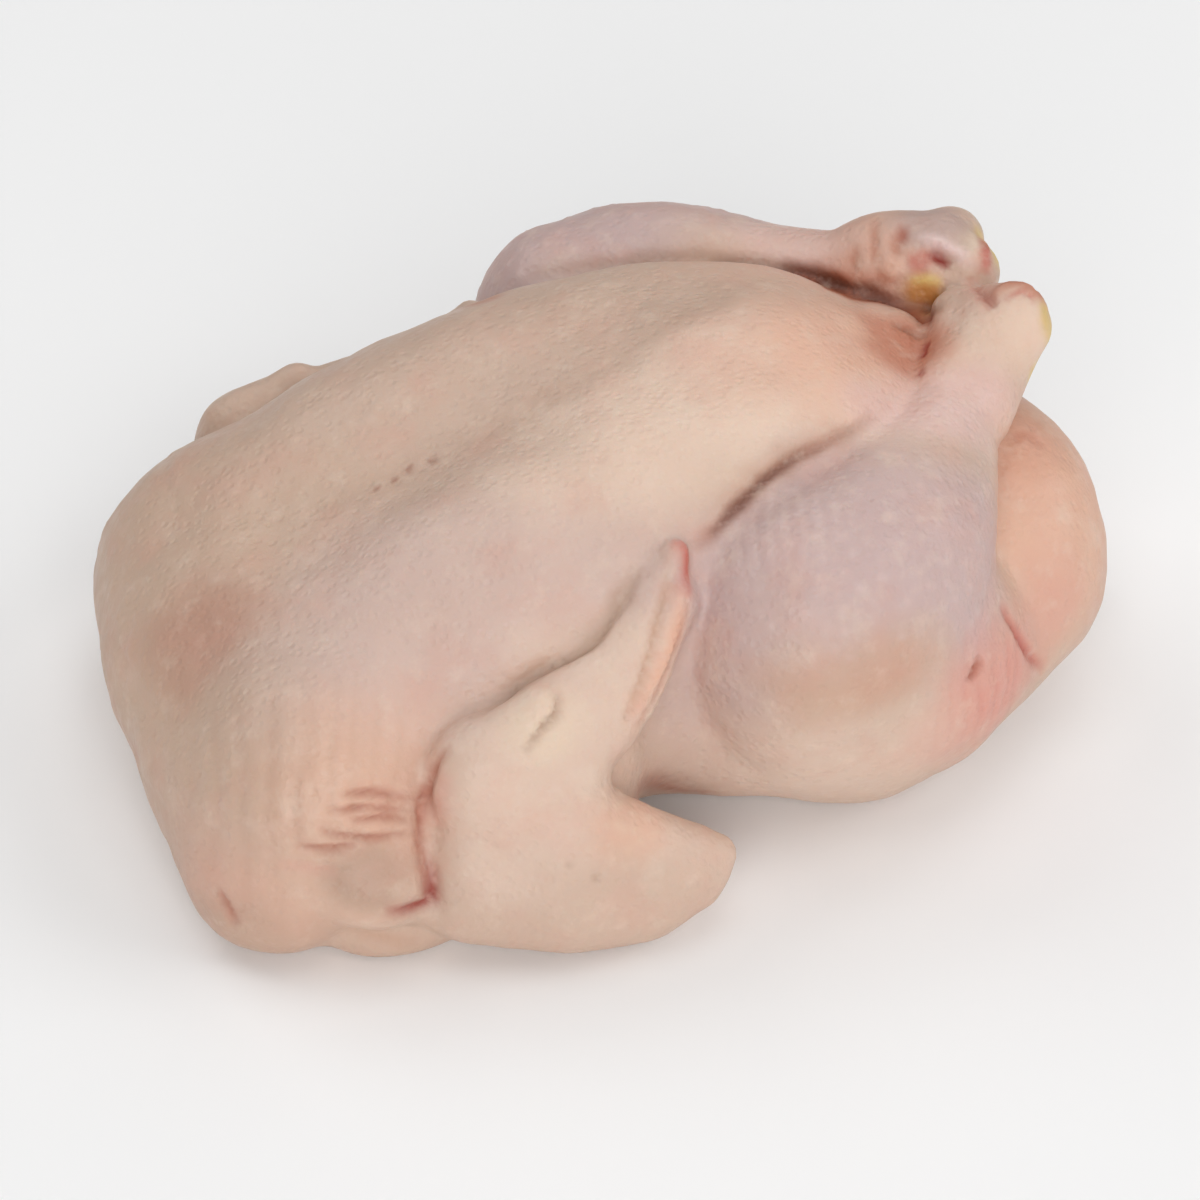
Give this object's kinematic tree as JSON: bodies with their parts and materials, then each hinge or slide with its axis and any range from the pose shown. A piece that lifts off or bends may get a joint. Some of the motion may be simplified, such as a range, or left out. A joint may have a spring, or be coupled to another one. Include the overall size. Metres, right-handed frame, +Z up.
{
  "type": "whole raw chicken",
  "caption": "Whole raw chicken, plucked and drawn, resting on its back with the wings folded and the drumsticks drawn up over the breast.",
  "frame": {"origin": "centre of the bounding box in X and Y, at the level of the board that the bird rests on", "axes": "+X toward the tail, +Y toward the bird's left side, +Z up, out of the breast"},
  "size_m": [0.245, 0.1906, 0.0975],
  "materials": {
    "skin": "moist, slightly glossy raw skin"
  },
  "bodies": {
    "root": {"chicken": "skin"}
  },
  "joints": []
}
